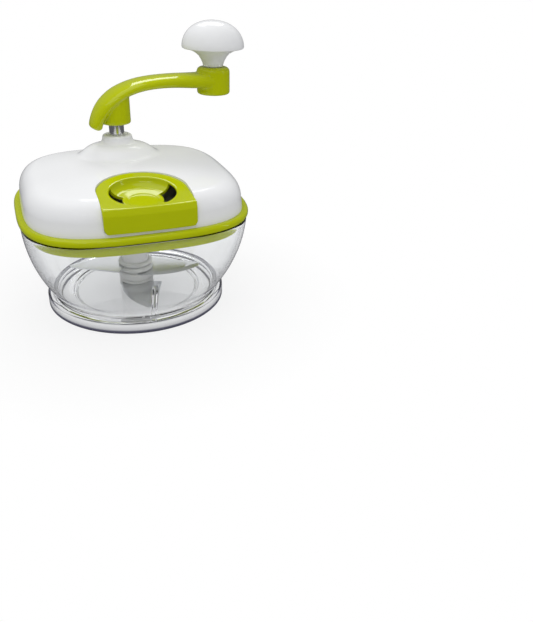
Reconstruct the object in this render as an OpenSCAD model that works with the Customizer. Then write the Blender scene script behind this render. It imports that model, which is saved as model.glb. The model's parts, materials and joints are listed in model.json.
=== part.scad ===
// Hand crank food chopper: clear bowl, geared lid, swept crank and a three blade rotor.
// Millimetres. +Z is up, the origin is the centre of the foot ring on the table,
// and the lid's port with its dished insert faces -Y.

/* [Bowl] */
// Width of the lid bead, across X
lid_w = 175; // [160:1:200]
// Depth of the lid bead, across Y
lid_d = 169; // [156:1:196]
// Squareness of the rim outline, 2 is an ellipse
squareness = 3.3; // [2.8:0.1:4]
// How far the lid bead stands out past the bowl rim
bead_over = 1.5; // [0.8:0.1:2.5]
// Height of the bowl rim above the table
rim_z = 78; // [70:1:90]
// Thickness of the bowl wall
bowl_wall = 2.4; // [1.8:0.1:3.2]
// Outer radius of the wall where it meets the floor
floor_r = 64; // [58:1:66]
// Height of the inside floor above the table
floor_z = 7; // [6:0.5:8]
// Thickness of the floor
floor_t = 3; // [2:0.5:4]
// Outer radius of the foot ring
foot_r = 72.5; // [70.5:0.5:80]
// Height of the foot ring's outer wall
foot_h = 8.5; // [7.5:0.5:10]
// Thickness of the foot ring's wall
foot_wall = 2.6; // [2:0.1:4]
// Length of the upright rib inside the bowl's front and back
rib_h = 34; // [20:1:44]
// Width of the upright rib
rib_w = 2.6; // [1.5:0.1:4]

/* [Lid] */
// Height of the green bead
bead_h = 5.6; // [4:0.1:8]
// How deep the green skirt reaches into the bowl
skirt_depth = 9; // [6:0.5:14]
// Height of the white cover above the bead, at its edge
cover_h = 23.5; // [21:0.5:30]
// Step from the bead's outside to the cover's side
cover_inset = 4.8; // [3.5:0.1:6]
// Wall of the white cover
cover_wall = 2.4; // [1.8:0.1:2.8]
// Radius of the cover's rounded shoulder
shoulder_r = 15; // [11:0.5:16]
// Rise of the crowned top
crown = 4; // [2:0.5:6]
// Height of the shaft collar's top above the cover's edge
collar_rise = 17.5; // [16:0.5:20]
// Outer radius of the shaft collar
collar_r = 12; // [11:0.5:13]
// Radius of the broad swelling round the collar
swell_r = 33; // [26:1:36]
// Height of the swelling
swell_h = 8.5; // [6:0.5:10]
// Thickness of the plate that closes the lid from below
plate_t = 2; // [1.6:0.2:3]

/* [Port insert] */
// Half width of the insert's front panel
panel_half = 33; // [30:1:36]
// Distance of the dish from the bowl's axis
dish_y = 54; // [50:1:55]
// Inner radius of the dish at its rim
dish_r = 24.5; // [22:0.5:25]
// Depth of the dish
dish_depth = 7.5; // [6:0.5:11]
// Thickness of the insert
insert_t = 2.2; // [1.6:0.2:2.6]
// How far the panel stops above the bead
panel_gap = 2.2; // [2:0.1:4]
// Forward tilt of the insert's top plate, degrees
insert_tilt = 6.5; // [5:0.5:7.5]

/* [Gear train] */
// Gear module
gear_module = 1.25; // [1.2:0.01:1.3]
// Teeth on the drive gear
drive_teeth = 48; // [44:1:50]
// Teeth on the pinion
pinion_teeth = 16; // [14:1:18]
// Face width of both gears
gear_h = 7; // [5:0.5:8]
// Slack between meshing teeth, along the pitch circle
backlash = 0.36; // [0.2:0.02:0.6]

/* [Crank] */
// Distance from the crank shaft to the knob
crank_l = 89; // [80:1:100]
// Angle of the crank at rest, from +X
crank_rest = 10; // [0:1:45]
// Radius of the steel shaft
shaft_r = 6; // [5:0.25:6.5]
// Gap of bare shaft between collar and crank hub
shaft_gap = 9; // [5:0.5:12]
// Radius of the hub on the shaft
hub_r = 12; // [10:0.1:12.5]
// Height of the hub below the arm
hub_h = 23; // [22:0.5:28]
// Width of the arm at the hub
arm_w = 28; // [25:0.5:30]
// Width of the arm at the knob
arm_end_w = 26; // [22:0.5:27]
// Rise of the arm from the hub to the knob
arm_rise = 4.5; // [2:0.5:8]
// Thickness of the arm at its bend
arm_t = 7; // [6:0.25:8]
// Thickness of the arm where it meets the boss
arm_end_t = 11; // [9:0.25:12]
// Radius of the boss at the knob end
boss_r = 14; // [12.5:0.1:16]
// Height of the boss at the knob end
boss_h = 22; // [20:0.5:28]

/* [Knob] */
// Radius of the domed knob
knob_r = 26; // [22:0.5:29]
// Height of the dome
dome_h = 21.5; // [18:0.5:28]
// Height of the neck under the dome
neck_h = 14.5; // [10:0.5:18]
// Radius of the neck where it meets the arm
neck_r = 8.4; // [8:0.1:10]
// Radius of the steel post that the knob turns on
post_r = 3; // [2.5:0.25:3.5]

/* [Rotor] */
// Outer radius of the white stem
stem_r = 10.5; // [10:0.1:12]
// Distance across the flats of the drive hexagon
hex_af = 11; // [9:0.5:11.5]
// Length of the drive hexagon in the stem
hex_l = 12; // [8:0.5:14]
// Radius of the pivot pin in the floor
pivot_r = 4; // [3:0.25:5]
// Height of the pivot pin above the floor
pivot_h = 26; // [16:1:30]
// Reach of the blades from the axis
blade_reach = 53; // [44:1:55]
// Thickness of the steel blades
blade_t = 1.2; // [0.8:0.1:1.6]
// Width of each blade at its root
blade_w = 22; // [16:1:26]
// Height of the lowest blade above the floor
blade_z1 = 5; // [4.5:0.5:5.5]
// Height of the middle blade above the floor
blade_z2 = 15; // [14:0.5:16]
// Height of the top blade above the floor
blade_z3 = 20; // [20:0.5:24]

/* [Fits] */
// Radial clearance of a running fit
run_fit = 0.06; // [0.03:0.01:0.1]
// Gap between parts that lift apart
lift_gap = 0.3; // [0.2:0.05:0.5]
// Axial play at a bearing
end_play = 0.3; // [0.2:0.05:0.5]

/* [Hidden] */
$fn = 72;
lime = "#b5c916";
white = "#f2f2f0";
steel = "#c4c8cc";
clear = [0.86, 0.9, 0.92, 0.45];
frost = "#d5d8d6";
// Clearance of a pressed seat
seat_fit = 0.02;
// Points round each moulded outline
ring_n = 60;
// Rim outline of the bowl
rim_a = lid_w / 2 - bead_over;
rim_b = lid_d / 2 - bead_over;
// Lid levels
ring_z = rim_z + lift_gap;
bead_top = ring_z + bead_h;
cover_a = lid_w / 2 - cover_inset;
cover_b = lid_d / 2 - cover_inset;
edge_z = bead_top + cover_h;
// Draft of the cover's side, and where its shoulder passes into the crowned top
draft = 0.8;
shoulder_end = 83;
top_in = draft + (shoulder_r - draft) * (1 - cos(shoulder_end));
top_base = edge_z - shoulder_r * (1 - sin(shoulder_end));
ceiling_z = edge_z - cover_wall;
collar_z = edge_z + collar_rise;
bush_wall = 2.4;
bush_r = shaft_r + bush_wall;
plate_top = bead_top + plate_t;
// Gear train levels and centres
crank_y = gear_module * (drive_teeth + pinion_teeth) / 2;
boss_ring_h = 1;
gear_z = plate_top + boss_ring_h + end_play;
bush_bottom = gear_z + gear_h + 3 + end_play;
clip_t = 1.2;
// Foot of the collar, and the circle where the swelling's rings begin
collar_foot = collar_r + 2.2;
top_start = min(collar_r + 8, cover_b - top_in - crank_y - 1);
// Crank levels
hub_z = collar_z + shaft_gap;
arm_z = hub_z + hub_h;
boss_z = arm_z + arm_rise - boss_h / 2;
knob_z = boss_z + boss_h + end_play;
dome_z = knob_z + neck_h;
// Top of the foot's flange
foot_top = foot_h + 1.6;
// Foot of the pivot pin, in a blind socket of the floor
pivot_z = floor_z - floor_t + 0.8;
// Rotor levels
stem_z = floor_z + 1;
plate_hub_h = 6;
stem_top = bead_top - plate_hub_h - 2 - clip_t;
hub_clamp = 4;
hub_ring_r = stem_r + 3.5;
low_cap = 2.4;
high_cap = 3;
panel_bow_r = 420;
ledge_in = cover_inset + cover_wall + 4;
screw_r = 1.5;
screw_l = 12;
screw_spots = [for (sx = [-1, 1], sy = [-1, 1]) [sx * (cover_a - 33), sy * (cover_b - 36)]];
drain_half = 16;
drain_w = 16;
journal_r = shaft_r - 1;
pin_shaft_r = 7;
pin_bush_r = pin_shaft_r + 1.8;
hub_out = pin_bush_r + 2.4;
crease_z = edge_z - 3.6;
crease_r = 3.5;
window_angle = 56;
window_in = 0.6;
window_high = 1.6;
window_cut = dish_depth + insert_t + 1;
insert_front = -cover_b - 1.8;
insert_back = -dish_y + panel_half;
panel_bow = 1.5;
cheek = 17;
cheek_t = 2;
panel_low = bead_top + panel_gap + lift_gap;
dish_rim = crease_z + plate_rise(-dish_y) - 0.4;
head_r = 6;
head_h = 2.2;
// Height of the shaft's seat in the hub
shaft_seat = hub_h - 9;
low_z = floor_z + blade_z1;
mid_z = floor_z + blade_z2;
high_z = floor_z + blade_z3;

// Superellipse point at angle t
function oval(a, b, n, t) =
    let (r = pow(pow(abs(cos(t)) / a, n) + pow(abs(sin(t)) / b, n), -1 / n))
    [r * cos(t), r * sin(t)];
function turn(k) = 360 * k / ring_n;
// Bowl half width as a share of the way from floor to rim
function taper(h) = 1 - pow(1 - h, 2.1);
function bowl_share(z) = min(1, max(0, (z - floor_z) / (rim_z - floor_z)));
function bowl_half(z, rim) = floor_r + (rim - floor_r) * taper(bowl_share(z));
function bowl_power(z) = 2 + (squareness - 2) * bowl_share(z);
// One ring of the bowl's shape at height z, drawn in by off
function bowl_ring(z, off) = [for (k = [0 : ring_n - 1])
    let (p = oval(bowl_half(z, rim_a) - off, bowl_half(z, rim_b) - off, bowl_power(z), turn(k)))
    [p[0], p[1], z]];
// One ring of the cover's outline at height z, drawn in by off
function cover_ring(z, off) = [for (k = [0 : ring_n - 1])
    let (p = oval(cover_a - off, cover_b - off, squareness, turn(k))) [p[0], p[1], z]];
function outline(a, b) = [for (k = [0 : ring_n - 1]) oval(a, b, squareness, turn(k))];
// Swelling of the cover round the shaft
function swell(p) =
    let (d = min(1, norm([p[0], p[1] - crank_y]) / swell_r))
    swell_h * pow(1 - pow(d, 3), 1.5);
// Height of the crowned top with its swelling
function top_z(p) =
    let (u = abs(p[0]) / (cover_a - top_in), v = abs(p[1]) / (cover_b - top_in))
    let (m = pow(u, squareness) + pow(v, squareness))
    top_base + crown * max(0, 1 - pow(m, 2 / squareness)) + swell(p);
// Ring between a circle round the shaft and the edge of the flat top
function top_ring(s, r, drop) = [for (k = [0 : ring_n - 1])
    let (c = [r * cos(turn(k)), crank_y + r * sin(turn(k))])
    let (e = oval(cover_a - top_in, cover_b - top_in, squareness, turn(k)))
    let (p = c + (e - c) * s)
    [p[0], p[1], top_z(p) - drop]];
// Ring of the shoulder at angle f of its arc
function shoulder_ring(f) = [for (k = [0 : ring_n - 1])
    let (off = draft + (shoulder_r - draft) * (1 - cos(f)))
    let (p = oval(cover_a - off, cover_b - off, squareness, turn(k)))
    [p[0], p[1], edge_z - shoulder_r * (1 - sin(f)) + swell(p)]];
function shaft_ring(r, z) = [for (k = [0 : ring_n - 1])
    [r * cos(turn(k)), crank_y + r * sin(turn(k)), z]];

// Closed skin over rings of equal length, joined end to end as a tube bent on itself
module tube_skin(rings) {
    n = len(rings[0]);
    m = len(rings);
    polyhedron(
        points = [for (ring = rings) each ring],
        faces = [for (i = [0 : m - 1], k = [0 : n - 1])
            let (j = (i + 1) % m, l = (k + 1) % n)
            each [[i * n + k, j * n + k, j * n + l], [i * n + k, j * n + l, i * n + l]]]);
}
// Closed skin over rings, with a flat cap on the first and the last
module capped_skin(rings) {
    n = len(rings[0]);
    m = len(rings);
    polyhedron(
        points = [for (ring = rings) each ring],
        faces = concat(
            [for (i = [0 : m - 2], k = [0 : n - 1])
                let (l = (k + 1) % n)
                each [[i * n + k, (i + 1) * n + k, (i + 1) * n + l],
                    [i * n + k, (i + 1) * n + l, i * n + l]]],
            [[for (k = [0 : n - 1]) k]],
            [[for (k = [n - 1 : -1 : 0]) (m - 1) * n + k]]));
}
// Straight ring between two radii
module ring(r_out, r_in, h) {
    rotate_extrude()
        translate([r_in, 0])
            square([r_out - r_in, h]);
}
module at_crank() {
    translate([0, crank_y, 0])
        rotate(crank_rest)
            children();
}

// Involute gear
function inv(a) = tan(a) * 180 / PI - a;
function flank(r, rb, rp, teeth) =
    90 / teeth - backlash / 4 / rp * 180 / PI + inv(20) - inv(acos(min(1, rb / max(r, rb))));
function tooth(teeth, k) =
    let (rp = gear_module * teeth / 2)
    let (rb = rp * cos(20))
    let (rf = rp - 1.25 * gear_module)
    let (ra = rp + 0.95 * gear_module)
    let (steps = [for (i = [0 : 3]) max(rf, rb) + (ra - max(rf, rb)) * i / 3])
    let (c = 360 * k / teeth)
    let (root = flank(rb, rb, rp, teeth))
    concat(
        [polar(rf, c - root)],
        [for (r = steps) polar(r, c - flank(r, rb, rp, teeth))],
        [for (i = [3 : -1 : 0]) polar(steps[i], c + flank(steps[i], rb, rp, teeth))],
        [polar(rf, c + root)]);
function polar(r, a) = [r * cos(a), r * sin(a)];
module gear_2d(teeth) {
    polygon([for (k = [0 : teeth - 1]) each tooth(teeth, k)]);
}

// Bowl: round floor and foot, walls opening to the rounded square rim
module bowl() {
    levels = 8;
    color(clear) {
        tube_skin(concat(
            [for (i = [0 : levels]) bowl_ring(wall_z(i / levels), 0)],
            [for (i = [levels : -1 : 0]) bowl_ring(wall_z(i / levels), bowl_wall)]));
        rotate_extrude() polygon([
            [0, pivot_z], [pivot_r, pivot_z], [pivot_r, floor_z + 0.6], [pivot_r + 4, floor_z + 0.6],
            [pivot_r + 4, floor_z], [floor_r - 1, floor_z], [floor_r + 0.4, foot_top], [foot_r - 2, foot_top],
            [foot_r - 0.6, foot_top - 0.5], [foot_r, foot_h], [foot_r, 0], [foot_r - foot_wall, 0],
            [foot_r - foot_wall, foot_top - foot_wall], [floor_r + 2.5, foot_top - foot_wall],
            [floor_r + 0.5, floor_z - floor_t], [0, floor_z - floor_t]]);
        for (a = [90, 270]) bowl_rib(a);
    }
}
// Wall levels start inside the floor's thickness
function wall_z(s) = s == 0 ? floor_z - floor_t / 2 : floor_z + (rim_z - floor_z) * s;
// Upright rib inside the wall, following the wall's curve
module bowl_rib(a) {
    half = a % 180 == 0 ? rim_a : rim_b;
    steps = 6;
    foot_in = 3;
    top_out = 0.4;
    levels = [for (i = [0 : steps]) floor_z - 1 + (rib_h + 1) * i / steps];
    rotate([90, 0, a])
        translate([0, 0, -rib_w / 2])
            linear_extrude(rib_w)
                polygon(concat(
                    [for (i = [0 : steps]) [bowl_half(levels[i], half) - bowl_wall / 2, levels[i]]],
                    [for (i = [steps : -1 : 0])
                        let (out = foot_in + (top_out - foot_in) * i / steps)
                        [bowl_half(levels[i], half) - bowl_wall - out, levels[i]]]));
}
module pivot_pin() {
    color(steel)
        translate([0, 0, pivot_z])
            cylinder(r = pivot_r - seat_fit, h = floor_z - pivot_z + pivot_h);
}

// Green ring: bead over the rim, ledge for the cover, skirt inside the bowl
module lid_ring() {
    skirt_gap = bowl_wall + 0.5;
    skirt_t = 2.2;
    low = ring_z - skirt_depth;
    color(lime)
        tube_skin([
            bowl_ring(low, skirt_gap + skirt_t), bowl_ring(low, skirt_gap + 0.6),
            bowl_ring(low + 1, skirt_gap), bowl_ring(rim_z - 3, skirt_gap),
            bead_ring(ring_z, bead_over + skirt_gap), bead_ring(ring_z, 1),
            bead_ring(ring_z + bead_h * 0.15, 0.25), bead_ring(ring_z + bead_h * 0.42, 0),
            bead_ring(ring_z + bead_h * 0.72, 0.35), bead_ring(ring_z + bead_h * 0.92, 1.3),
            bead_ring(bead_top, cover_inset - 0.6), bead_ring(bead_top, ledge_in),
            bead_ring(ring_z + 1, ledge_in), bowl_ring(rim_z - 3, skirt_gap + skirt_t)]);
}
function bead_ring(z, off) = [for (k = [0 : ring_n - 1])
    let (p = oval(lid_w / 2 - off, lid_d / 2 - off, squareness, turn(k))) [p[0], p[1], z]];

// White cover: upright sides, rounded shoulder, crowned top swelling to the shaft collar
module lid_cover() {
    bore = bush_r + lift_gap;
    color(white)
        difference() {
            tube_skin(concat(
                [cover_ring(bead_top, 0)],
                [for (i = [0 : 6]) shoulder_ring(shoulder_end * i / 6)],
                [for (s = [0.86, 0.7, 0.54, 0.38, 0.23, 0.1, 0]) top_ring(s, top_start, 0)],
                [for (s = [0.66, 0.33]) top_ring(0, collar_foot + (top_start - collar_foot) * s, 0)],
                [top_ring(0, collar_foot, -0.3), top_ring(0, collar_r + 1.2, -1.1)],
                [top_ring(0, collar_r + 0.5, -2.4), shaft_ring(collar_r, collar_z - 1.8)],
                [shaft_ring(collar_r - 0.6, collar_z - 0.6), shaft_ring(collar_r - 1.8, collar_z)],
                [shaft_ring(bore, collar_z), shaft_ring(bore, ceiling_z)],
                [cover_ring(ceiling_z, shoulder_r + 2), cover_ring(ceiling_z - 3, cover_wall + 4)],
                [cover_ring(ceiling_z - 9, cover_wall + draft), cover_ring(bead_top, cover_wall)]));
            translate([0, 0, bead_top + panel_gap])
                linear_extrude(cover_h + collar_rise)
                    port_outline(0);
        }
}
// Plan of the port: a straight front and a round back, drawn in by gap
module port_outline(gap) {
    translate([0, -dish_y])
        circle(r = panel_half - gap);
    translate([-panel_half + gap, -lid_d])
        square([2 * (panel_half - gap), lid_d - dish_y]);
}

// Plate that closes the lid from below and carries both shafts
module bearing_plate() {
    color(white) {
        difference() {
            union() {
                translate([0, 0, bead_top])
                    linear_extrude(plate_t)
                        polygon(outline(cover_a - cover_wall - lift_gap, cover_b - cover_wall - lift_gap));
                translate([0, 0, bead_top - plate_hub_h])
                    cylinder(r = hub_out, h = plate_hub_h + plate_t);
                translate([0, crank_y, bead_top])
                    cylinder(r = bush_r + 1, h = plate_t + boss_ring_h);
                for (p = screw_spots) translate([p[0], p[1], bead_top])
                    cylinder(r = 4, h = ceiling_z - bead_top - 0.05);
            }
            translate([0, 0, bead_top - plate_hub_h - 1])
                cylinder(r = pin_bush_r, h = plate_hub_h + plate_t + 2);
            translate([0, crank_y, bead_top - 1])
                cylinder(r = journal_r + run_fit, h = plate_t + boss_ring_h + 2);
            for (p = screw_spots) translate([p[0], p[1], bead_top - 1])
                cylinder(r = screw_r, h = screw_l + 3);
            translate([-drain_half, -dish_y - drain_w / 2, bead_top - 1])
                cube([2 * drain_half, drain_w, plate_t + 2]);
        }
    }
}
module plate_screws() {
    head_r = 2.8;
    head_h = 1.8;
    color(steel)
        for (p = screw_spots) translate([p[0], p[1], bead_top]) {
            translate([0, 0, -head_h])
                cylinder(r = head_r, h = head_h);
            cylinder(r = screw_r - seat_fit, h = screw_l);
        }
}
module shaft_bush() {
    color(frost)
        translate([0, crank_y, bush_bottom])
            ring(bush_r, shaft_r + run_fit, collar_z - bush_bottom);
}
module pinion_bush() {
    color(frost)
        translate([0, 0, bead_top - plate_hub_h])
            ring(pin_bush_r - seat_fit, pin_shaft_r + run_fit, plate_hub_h + plate_t);
}

// Green insert: tilted top plate, drip dish with two windows, panel folded down the front
module port_insert() {
    side = panel_half - lift_gap - cheek_t;
    color(lime) {
        difference() {
            intersection() {
                union() {
                    across(-panel_half, 2 * panel_half)
                        insert_side();
                    for (x = [-side - cheek_t, side]) across(x, cheek_t)
                        cheek_side();
                }
                translate([0, 0, bead_top])
                    linear_extrude(cover_h + collar_rise)
                        port_plan();
                rotate([90, 0, 0])
                    linear_extrude(lid_d)
                        panel_face();
            }
            at_dish()
                translate([0, 0, -dish_depth])
                    cylinder(r = dish_r, h = 2 * dish_depth);
        }
        at_dish()
            difference() {
                translate([0, 0, -dish_depth - insert_t])
                    dish();
                for (a = [0, 180]) rotate(a - window_angle / 2)
                    translate([0, 0, -window_cut])
                        rotate_extrude(angle = window_angle)
                            translate([dish_r * window_in, 0])
                                square([dish_r, window_cut - window_high]);
            }
    }
}
// The dish leans with the plate
module at_dish() {
    translate([0, -dish_y, dish_rim])
        rotate([insert_tilt, 0, 0])
            children();
}
// Side profile drawn out along X
module across(x, w) {
    translate([x, 0, 0])
        rotate([90, 0, 90])
            linear_extrude(w)
                children();
}
function plate_rise(y) = (y - insert_front - crease_r) * tan(insert_tilt);
// Side profile of the insert: panel, rounded crease and tilted plate
module insert_side() {
    panel_t = insert_t + panel_bow;
    back = crease_z + plate_rise(insert_back);
    polygon(concat(
        [[insert_front, panel_low]],
        [for (f = [0 : 15 : 90])
            [insert_front + crease_r * (1 - cos(f)), crease_z - crease_r * (1 - sin(f))]],
        [[insert_back, back], [insert_back, back - insert_t],
            [insert_front + panel_t + crease_r, crease_z - insert_t],
            [insert_front + panel_t, crease_z - insert_t - crease_r],
            [insert_front + panel_t, panel_low]]));
}
// Corner of the cheek that closes the fold at each side
module cheek_side() {
    inner = insert_front + cheek;
    polygon([[insert_front + 2, crease_z - cheek], [insert_front + 2, crease_z - 2],
        [inner, crease_z + plate_rise(inner) - insert_t / 2]]);
}
module front_disc() {
    translate([0, panel_bow_r + insert_front])
        circle(r = panel_bow_r, $fn = 240);
}
module port_plan() {
    intersection() {
        port_outline(lift_gap);
        front_disc();
    }
}
module panel_face() {
    r = 3;
    half = panel_half - lift_gap;
    translate([-half, panel_low + r])
        square([2 * half, cover_h + collar_rise]);
    translate([-half + r, panel_low])
        square([2 * half - 2 * r, cover_h]);
    for (s = [-1, 1]) translate([s * (half - r), panel_low + r])
        rotate(90)
            circle(r = r);
}
module dish() {
    base = dish_r * 0.5;
    rotate_extrude() polygon([
        [0, 0], [base + 2, 0], [dish_r * 0.84, dish_depth * 0.3], [dish_r + 1.4, dish_depth * 0.78],
        [dish_r + 1.4, dish_depth + insert_t], [dish_r - 0.6, dish_depth + insert_t],
        [dish_r - 0.8, dish_depth * 0.85 + insert_t], [dish_r * 0.78, dish_depth * 0.34 + insert_t],
        [base, insert_t], [0, insert_t]]);
}

// Crank: stepped steel shaft, gear, clip, swept arm and knob post
module crank_shaft() {
    top = hub_z + shaft_seat;
    step = plate_top + boss_ring_h + 0.1;
    low = bead_top - end_play - clip_t - 1;
    color(steel)
        translate([0, crank_y, 0]) {
            translate([0, 0, low])
                cylinder(r = journal_r, h = step - low);
            translate([0, 0, step])
                cylinder(r = shaft_r, h = top - step);
        }
}
module shaft_clip() {
    color(steel)
        translate([0, crank_y, bead_top - end_play - clip_t])
            ring(journal_r + 3.5, journal_r + seat_fit, clip_t);
}
module drive_gear() {
    pitch_phase = -90;
    color(white)
        translate([0, crank_y, gear_z])
            difference() {
                union() {
                    rotate(pitch_phase)
                        linear_extrude(gear_h)
                            gear_2d(drive_teeth);
                    cylinder(r = bush_r + 1, h = gear_h + 3);
                }
                translate([0, 0, -1])
                    cylinder(r = shaft_r + seat_fit, h = gear_h + 6);
                for (a = [0 : 60 : 300]) rotate(a) translate([gear_module * drive_teeth * 0.32, 0, -1])
                    cylinder(r = 4.6, h = gear_h + 2);
            }
}
// Arm centre line in the crank's own frame, tail to boss, as [x, height above the hub's foot, size, swell]
// where size shrinks the rounded tail and swell passes from the bend's thickness to the boss's
arm_path = [[-17.6, -3.4, 0.42, 0], [-17.5, -2.6, 0.8, 0], [-17.1, -1, 1, 0], [-16.4, 1.6, 1, 0],
    [-14.8, 5.4, 1, 0], [-12, 10, 1, 0], [-8.3, 14.4, 1, 0], [-3.4, hub_h - 4.5, 1, 0],
    [2.3, hub_h - 0.8, 1, 0], [9, hub_h + 2.1, 1, 0.02], [17, hub_h + 4.4, 1, 0.08],
    [26, hub_h + 5.9, 1, 0.15], [38, hub_h + 6.7, 1, 0.25], [52, hub_h + arm_rise + 2.1, 1, 0.45],
    [crank_l - 22, hub_h + arm_rise + 1.3, 1, 0.75], [crank_l - 4, hub_h + arm_rise + 0.6, 1, 1]];
arm_n = 24;
arm_power = 3.4;
function arm_spot(i) = [arm_path[i][0], arm_path[i][1]];
function arm_dir(i) =
    let (a = arm_spot(max(0, i - 1)), b = arm_spot(min(len(arm_path) - 1, i + 1)))
    (b - a) / norm(b - a);
function arm_ring(i) =
    let (p = arm_path[i], d = arm_dir(i), f = max(0, p[0] / crank_l))
    let (w = (arm_w + (arm_end_w - arm_w) * f) / 2 - (1 - p[2]) * arm_t / 2)
    let (t = p[2] * (arm_t + (arm_end_t - arm_t) * p[3]) / 2)
    [for (k = [0 : arm_n - 1])
        let (q = oval(w, t, arm_power, 360 * k / arm_n))
        [p[0] - d[1] * q[1], q[0], hub_z + p[1] + d[0] * q[1]]];
module crank_arm() {
    bore = shaft_r + seat_fit;
    color(lime)
        at_crank()
            difference() {
                union() {
                    capped_skin([for (i = [0 : len(arm_path) - 1]) arm_ring(i)]);
                    hub_body();
                    translate([crank_l, 0, boss_z])
                        boss_body();
                }
                translate([0, 0, hub_z - 1])
                    cylinder(r = bore, h = shaft_seat + 1);
                translate([crank_l, 0, boss_z - 1])
                    cylinder(r = post_r + seat_fit, h = boss_h + 2);
                translate([crank_l, 0, boss_z - 1])
                    cylinder(r = head_r + 0.3, h = head_h + 1);
            }
}
// Hub under the arm, ending inside the arm along its centre line
module hub_body() {
    intersection() {
        translate([0, 0, hub_z])
            cylinder(r = hub_r, h = 2 * hub_h);
        rotate([90, 0, 0])
            linear_extrude(4 * hub_r, center = true)
                polygon(concat(
                    [for (i = [3 : 12]) arm_spot(i) + [0, hub_z]],
                    [[arm_path[12][0], hub_z - 1], [arm_path[3][0], hub_z - 1]]));
    }
}
module boss_body() {
    low_e = 2;
    top_e = 3.5;
    rotate_extrude() polygon(concat(
        [[0, 0]],
        [for (f = [0 : 22.5 : 90]) [boss_r - low_e * (1 - sin(f)), low_e * (1 - cos(f))]],
        [for (f = [0 : 22.5 : 90]) [boss_r - top_e * (1 - cos(f)), boss_h - top_e * (1 - sin(f))]],
        [[0, boss_h]]));
}
module knob_post() {
    color(steel)
        at_crank()
            translate([crank_l, 0, boss_z]) {
                cylinder(r = head_r, h = head_h);
                cylinder(r = post_r, h = boss_h + end_play + neck_h + 5);
            }
}
module post_clip() {
    color(steel)
        at_crank()
            translate([crank_l, 0, dome_z + 2 + end_play])
                ring(post_r + 3, post_r + seat_fit, clip_t);
}
// Knob: frosted trumpet neck and white dome
module knob_neck() {
    lip = 2;
    rim_r = knob_r - 3.4;
    color(frost)
        at_crank()
            translate([crank_l, 0, knob_z])
                rotate_extrude() polygon([
                    [post_r + run_fit, 0], [neck_r, 0], [neck_r + 0.7, neck_h * 0.21],
                    [neck_r + 3.6, neck_h * 0.58], [neck_r + 8.4, neck_h * 0.83],
                    [rim_r, neck_h - 0.4], [rim_r, neck_h],
                    [neck_r - 1, neck_h], [neck_r - 1, neck_h + lip], [post_r + run_fit, neck_h + lip]]);
}
module knob_dome() {
    wall = 2.4;
    color(white)
        at_crank()
            translate([crank_l, 0, dome_z])
                rotate_extrude() polygon(concat(
                    [for (f = [0 : 7.5 : 90]) dome_point(f, 0)],
                    [for (f = [90 : -7.5 : 0]) dome_point(f, wall)]));
}
// Point of the dome at angle f, a little fuller than an ellipse
dome_power = 0.93;
function dome_point(f, in) = [(knob_r - in) * pow(cos(f), dome_power), (dome_h - in) * sin(f)];

// Pinion with its hexagon that drops into the stem
module pinion() {
    phase = 90 + 180 / pinion_teeth;
    neck = bead_top - plate_hub_h - end_play - clip_t - 0.6;
    color(frost) {
        translate([0, 0, gear_z])
            rotate(phase)
                linear_extrude(gear_h)
                    gear_2d(pinion_teeth);
        translate([0, 0, neck])
            cylinder(r = pin_shaft_r, h = gear_z - neck + 0.5);
        translate([0, 0, stem_top - hex_l])
            cylinder(r = hex_af / 2 / cos(30), h = neck - stem_top + hex_l + 0.5, $fn = 6);
    }
}
module pinion_clip() {
    color(steel)
        translate([0, 0, bead_top - plate_hub_h - end_play - clip_t])
            ring(pin_shaft_r + 3, pin_shaft_r + seat_fit, clip_t);
}

// Rotor: stem with hexagon socket and pivot bore, clamped hubs and three curved blades
module blade_stem() {
    socket = hex_af + 0.5;
    color(white)
        difference() {
            translate([0, 0, stem_z])
                cylinder(r = stem_r, h = stem_top - stem_z);
            translate([0, 0, stem_top - hex_l - 1.5])
                cylinder(r = socket / 2 / cos(30), h = hex_l + 3, $fn = 6);
            translate([0, 0, stem_z - 1])
                cylinder(r = pivot_r + run_fit, h = floor_z + pivot_h + end_play - stem_z + 1);
        }
}
module clamp(z, h, r) {
    translate([0, 0, z])
        rotate_extrude() polygon([
            [stem_r + seat_fit, 0], [r - 1, 0], [r, 1], [r, h - 1], [r - 1, h], [stem_r + seat_fit, h]]);
}
module lower_hub() {
    color(frost) {
        clamp(low_z - hub_clamp, hub_clamp, hub_ring_r);
        clamp(low_z + blade_t, low_cap, hub_ring_r);
    }
}
module upper_hub() {
    low = low_z + blade_t + low_cap + 0.2;
    color(frost) {
        clamp(low, mid_z - low, hub_ring_r);
        clamp(mid_z + blade_t, high_z - mid_z - blade_t, hub_ring_r);
        clamp(high_z + blade_t, high_cap, hub_ring_r);
    }
}
// Sickle blade: a round root on the stem and a tip swept back
module blade(z, a) {
    sweep = 12;
    arc = blade_reach * 1.1;
    color(steel)
        translate([0, 0, z])
            rotate(a)
                mirror([0, 1, 0])
                    linear_extrude(blade_t)
                        difference() {
                            union() {
                                circle(r = stem_r + 3);
                                intersection() {
                                    translate([0, -arc + sweep])
                                        circle(r = arc);
                                    translate([0, -blade_w])
                                        square([blade_reach, blade_w + sweep]);
                                    circle(r = blade_reach);
                                }
                            }
                            circle(r = stem_r + seat_fit);
                        }
}
module lower_blade() { blade(low_z, 250); }
module middle_blade() { blade(mid_z, 328); }
module upper_blade() { blade(high_z, 149); }

bowl();
pivot_pin();
lid_ring();
lid_cover();
bearing_plate();
shaft_bush();
pinion_bush();
plate_screws();
port_insert();
crank_shaft();
drive_gear();
shaft_clip();
crank_arm();
knob_post();
post_clip();
knob_neck();
knob_dome();
pinion();
pinion_clip();
blade_stem();
lower_hub();
upper_hub();
lower_blade();
middle_blade();
upper_blade();
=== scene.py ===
# %% [markdown]
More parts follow.
